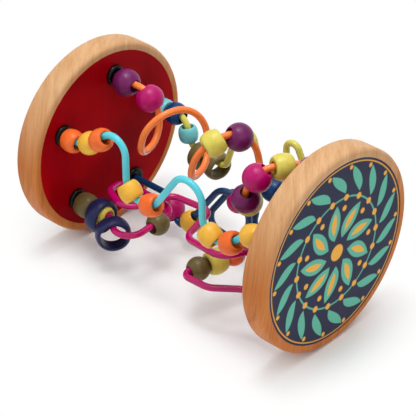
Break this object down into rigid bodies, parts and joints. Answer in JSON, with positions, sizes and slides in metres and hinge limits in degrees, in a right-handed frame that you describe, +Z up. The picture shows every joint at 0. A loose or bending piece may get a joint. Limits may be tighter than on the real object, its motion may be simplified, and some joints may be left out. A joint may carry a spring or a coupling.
{
  "type": "bead maze",
  "caption": "Rolling bead maze: two upright wooden discs joined by bent coated wires on which painted wooden balls, barrels and rings slide and spin.",
  "frame": {"origin": "floor point under the middle of the toy, half way between the discs", "axes": "+X along the toy from the left disc to the right disc, +Z up, +Y to the back"},
  "size_m": [0.238, 0.15, 0.15],
  "materials": {
    "beech": "pale sanded wood under a thin satin varnish",
    "red_panel": "thin board with a satin red print",
    "navy_panel": "thin board with a satin printed face",
    "black_collar": "glossy black moulded plastic",
    "orange_coating": "steel wire with a glossy coloured coating",
    "aqua_coating": "steel wire with a glossy coloured coating",
    "magenta_coating": "steel wire with a glossy coloured coating",
    "blue_coating": "steel wire with a glossy coloured coating",
    "lime_coating": "steel wire with a glossy coloured coating",
    "purple_paint": "turned wood with satin paint",
    "magenta_paint": "turned wood with satin paint",
    "lime_paint": "turned wood with satin paint",
    "orange_paint": "turned wood with satin paint",
    "mustard_paint": "turned wood with satin paint",
    "olive_paint": "turned wood with satin paint",
    "yellow_paint": "turned wood with satin paint",
    "navy_paint": "turned wood with satin paint",
    "aqua_paint": "turned wood with satin paint",
    "blue_paint": "turned wood with satin paint"
  },
  "bodies": {
    "frame": {"left_disc": "beech", "right_disc": "beech", "left_inner_panel": "red_panel", "right_inner_panel": "red_panel", "left_outer_panel": "navy_panel", "right_outer_panel": "navy_panel", "orange_wire": "orange_coating", "aqua_wire": "aqua_coating", "magenta_wire": "magenta_coating", "blue_wire": "blue_coating", "lime_wire": "lime_coating", "left_orange_collar": "black_collar", "left_aqua_collar": "black_collar", "left_magenta_collar": "black_collar", "left_blue_collar": "black_collar", "left_lime_collar": "black_collar", "right_orange_collar": "black_collar", "right_aqua_collar": "black_collar", "right_magenta_collar": "black_collar", "right_blue_collar": "black_collar", "right_lime_collar": "black_collar"},
    "orange_purple_ball_1_body": {"orange_purple_ball_1": "purple_paint"},
    "orange_magenta_ball_1_body": {"orange_magenta_ball_1": "magenta_paint"},
    "orange_lime_barrel_1_body": {"orange_lime_barrel_1": "lime_paint"},
    "orange_purple_ball_2_body": {"orange_purple_ball_2": "purple_paint"},
    "orange_lime_barrel_2_body": {"orange_lime_barrel_2": "lime_paint"},
    "orange_purple_ball_3_body": {"orange_purple_ball_3": "purple_paint"},
    "orange_magenta_ball_2_body": {"orange_magenta_ball_2": "magenta_paint"},
    "orange_lime_barrel_3_body": {"orange_lime_barrel_3": "lime_paint"},
    "orange_purple_ball_4_body": {"orange_purple_ball_4": "purple_paint"},
    "aqua_orange_barrel_1_body": {"aqua_orange_barrel_1": "orange_paint"},
    "aqua_mustard_barrel_1_body": {"aqua_mustard_barrel_1": "mustard_paint"},
    "aqua_orange_barrel_2_body": {"aqua_orange_barrel_2": "orange_paint"},
    "aqua_mustard_barrel_2_body": {"aqua_mustard_barrel_2": "mustard_paint"},
    "aqua_orange_barrel_3_body": {"aqua_orange_barrel_3": "orange_paint"},
    "aqua_mustard_barrel_3_body": {"aqua_mustard_barrel_3": "mustard_paint"},
    "aqua_orange_barrel_4_body": {"aqua_orange_barrel_4": "orange_paint"},
    "aqua_mustard_barrel_4_body": {"aqua_mustard_barrel_4": "mustard_paint"},
    "magenta_olive_barrel_body": {"magenta_olive_barrel": "olive_paint"},
    "magenta_yellow_barrel_body": {"magenta_yellow_barrel": "yellow_paint"},
    "magenta_navy_ring_1_body": {"magenta_navy_ring_1": "navy_paint"},
    "magenta_navy_ring_2_body": {"magenta_navy_ring_2": "navy_paint"},
    "magenta_olive_ball_1_body": {"magenta_olive_ball_1": "olive_paint"},
    "magenta_orange_ball_body": {"magenta_orange_ball": "orange_paint"},
    "magenta_lime_barrel_body": {"magenta_lime_barrel": "lime_paint"},
    "magenta_olive_ball_2_body": {"magenta_olive_ball_2": "olive_paint"},
    "blue_magenta_ball_1_body": {"blue_magenta_ball_1": "magenta_paint"},
    "blue_mustard_ball_body": {"blue_mustard_ball": "mustard_paint"},
    "blue_magenta_ball_2_body": {"blue_magenta_ball_2": "magenta_paint"},
    "lime_aqua_barrel_1_body": {"lime_aqua_barrel_1": "aqua_paint"},
    "lime_navy_ball_body": {"lime_navy_ball": "blue_paint"},
    "lime_aqua_barrel_2_body": {"lime_aqua_barrel_2": "aqua_paint"},
    "lime_olive_ring_1_body": {"lime_olive_ring_1": "olive_paint"},
    "lime_olive_ring_2_body": {"lime_olive_ring_2": "olive_paint"},
    "lime_blue_barrel_body": {"lime_blue_barrel": "blue_paint"}
  },
  "joints": [
    {"name": "orange_purple_ball_1_slide", "type": "slide", "parent": "frame", "child": "orange_purple_ball_1_body", "axis": [1, 0, 0], "range_m": [0, 0.003]},
    {"name": "orange_magenta_ball_1_round_bend", "type": "hinge", "parent": "frame", "child": "orange_magenta_ball_1_body", "pos_m": [-0.07484, 0.01079, 0.10994], "axis": [0, 0.973, 0.231], "range_deg": [-18, 38]},
    {"name": "orange_lime_barrel_1_round_bend", "type": "hinge", "parent": "frame", "child": "orange_lime_barrel_1_body", "pos_m": [0.01487, -0.00291, 0.10691], "axis": [-0.9176, 0.281, 0.281], "range_deg": [-63, 1]},
    {"name": "orange_purple_ball_2_round_bend", "type": "hinge", "parent": "frame", "child": "orange_purple_ball_2_body", "pos_m": [0.02712, -0.00509, 0.10691], "axis": [-0.9176, 0.281, -0.281], "range_deg": [-1, 60]},
    {"name": "orange_lime_barrel_2_round_bend", "type": "hinge", "parent": "frame", "child": "orange_lime_barrel_2_body", "pos_m": [0.05162, -0.00291, 0.10909], "axis": [-0.9176, -0.281, 0.281], "range_deg": [-24, 0]},
    {"name": "orange_purple_ball_3_spin", "type": "hinge", "parent": "frame", "child": "orange_purple_ball_3_body", "pos_m": [0.05607, -0.02207, 0.10081], "axis": [0.3618, -0.2979, 0.8834], "continuous": true},
    {"name": "orange_magenta_ball_2_spin", "type": "hinge", "parent": "frame", "child": "orange_magenta_ball_2_body", "pos_m": [0.064, -0.02014, 0.11993], "axis": [0.4682, 0.5215, 0.7133], "continuous": true},
    {"name": "orange_lime_barrel_3_spin", "type": "hinge", "parent": "frame", "child": "orange_lime_barrel_3_body", "pos_m": [0.07287, -0.0042, 0.12511], "axis": [0.4125, 0.9081, -0.0729], "continuous": true},
    {"name": "orange_purple_ball_4_spin", "type": "hinge", "parent": "frame", "child": "orange_purple_ball_4_body", "pos_m": [0.08803, 0.0071, 0.1248], "axis": [1, 0, 0], "continuous": true},
    {"name": "aqua_orange_barrel_1_slide", "type": "slide", "parent": "frame", "child": "aqua_orange_barrel_1_body", "axis": [1, 0, 0], "range_m": [0, 0.0015]},
    {"name": "aqua_mustard_barrel_1_slide", "type": "slide", "parent": "frame", "child": "aqua_mustard_barrel_1_body", "axis": [0.818, 0, 0.5752], "range_m": [-0.0015, 0]},
    {"name": "aqua_orange_barrel_2_slide", "type": "slide", "parent": "frame", "child": "aqua_orange_barrel_2_body", "axis": [0.818, 0, 0.5752], "range_m": [0, 0.0085]},
    {"name": "aqua_mustard_barrel_2_round_bend", "type": "hinge", "parent": "frame", "child": "aqua_mustard_barrel_2_body", "pos_m": [-0.021, -0.04584, 0.08923], "axis": [0, -1, 0], "range_deg": [-57, 14]},
    {"name": "aqua_orange_barrel_3_round_bend", "type": "hinge", "parent": "frame", "child": "aqua_orange_barrel_3_body", "pos_m": [-0.01603, -0.04584, 0.08996], "axis": [0, -1, 0], "range_deg": [-16, 46]},
    {"name": "aqua_mustard_barrel_3_round_bend", "type": "hinge", "parent": "frame", "child": "aqua_mustard_barrel_3_body", "pos_m": [0.052, -0.04584, 0.09038], "axis": [0, -1, 0], "range_deg": [-74, 7]},
    {"name": "aqua_orange_barrel_4_round_bend", "type": "hinge", "parent": "frame", "child": "aqua_orange_barrel_4_body", "pos_m": [0.05578, -0.04584, 0.09291], "axis": [0, -1, 0], "range_deg": [-7, 23]},
    {"name": "aqua_mustard_barrel_4_round_bend", "type": "hinge", "parent": "frame", "child": "aqua_mustard_barrel_4_body", "pos_m": [0.08765, -0.04584, 0.08336], "axis": [0, 1, 0], "range_deg": [-26, 20]},
    {"name": "magenta_olive_barrel_slide", "type": "slide", "parent": "frame", "child": "magenta_olive_barrel_body", "axis": [1, 0, 0], "range_m": [0, 0.0015]},
    {"name": "magenta_yellow_barrel_slide", "type": "slide", "parent": "frame", "child": "magenta_yellow_barrel_body", "axis": [1, 0, 0], "range_m": [-0.004, 0.0015]},
    {"name": "magenta_navy_ring_1_slide", "type": "slide", "parent": "frame", "child": "magenta_navy_ring_1_body", "axis": [1, 0, 0], "range_m": [-0.0015, 0.001]},
    {"name": "magenta_navy_ring_2_slide", "type": "slide", "parent": "frame", "child": "magenta_navy_ring_2_body", "axis": [0.7931, -0.609, -0.0078], "range_m": [-0.001, 0.003]},
    {"name": "magenta_olive_ball_1_slide", "type": "slide", "parent": "frame", "child": "magenta_olive_ball_1_body", "axis": [-0.0483, 0.9987, 0.0161], "range_m": [-0.0135, 0.004]},
    {"name": "magenta_orange_ball_slide", "type": "slide", "parent": "frame", "child": "magenta_orange_ball_body", "axis": [-0.2404, -0.9695, -0.0481], "range_m": [-0.007, 0]},
    {"name": "magenta_lime_barrel_spin", "type": "hinge", "parent": "frame", "child": "magenta_lime_barrel_body", "pos_m": [0.0295, -0.02277, 0.0367], "axis": [-0.2404, -0.9695, -0.0481], "continuous": true},
    {"name": "magenta_olive_ball_2_slide", "type": "slide", "parent": "frame", "child": "magenta_olive_ball_2_body", "axis": [-0.2404, -0.9695, -0.0481], "range_m": [0, 0.002]},
    {"name": "blue_magenta_ball_1_slide", "type": "slide", "parent": "frame", "child": "blue_magenta_ball_1_body", "axis": [0.689, -0.2278, -0.688], "range_m": [-0.0045, 0.001]},
    {"name": "blue_mustard_ball_slide", "type": "slide", "parent": "frame", "child": "blue_mustard_ball_body", "axis": [0.5547, 0.1177, 0.8237], "range_m": [0, 0.0375]},
    {"name": "blue_magenta_ball_2_round_bend", "type": "hinge", "parent": "frame", "child": "blue_magenta_ball_2_body", "pos_m": [-0.00122, 0.02594, 0.04105], "axis": [-0.0686, 0.9946, 0.0785], "range_deg": [-37, 67]},
    {"name": "lime_aqua_barrel_1_spin", "type": "hinge", "parent": "frame", "child": "lime_aqua_barrel_1_body", "pos_m": [-0.0912, 0.05022, 0.08216], "axis": [1, 0, 0], "continuous": true},
    {"name": "lime_navy_ball_spin", "type": "hinge", "parent": "frame", "child": "lime_navy_ball_body", "pos_m": [-0.0789, 0.05022, 0.08216], "axis": [1, 0, 0], "continuous": true},
    {"name": "lime_aqua_barrel_2_spin", "type": "hinge", "parent": "frame", "child": "lime_aqua_barrel_2_body", "pos_m": [-0.06627, 0.05022, 0.0699], "axis": [0.1654, 0, -0.9862], "continuous": true},
    {"name": "lime_olive_ring_1_spin", "type": "hinge", "parent": "frame", "child": "lime_olive_ring_1_body", "pos_m": [-0.0534, 0.05022, 0.0553], "axis": [0.9965, 0, -0.083], "continuous": true},
    {"name": "lime_olive_ring_2_slide", "type": "slide", "parent": "frame", "child": "lime_olive_ring_2_body", "axis": [0.9965, 0, -0.083], "range_m": [-0.001, 0.001]},
    {"name": "lime_blue_barrel_spin", "type": "hinge", "parent": "frame", "child": "lime_blue_barrel_body", "pos_m": [0.01913, 0.05022, 0.0575], "axis": [1, 0, 0], "continuous": true}
  ]
}
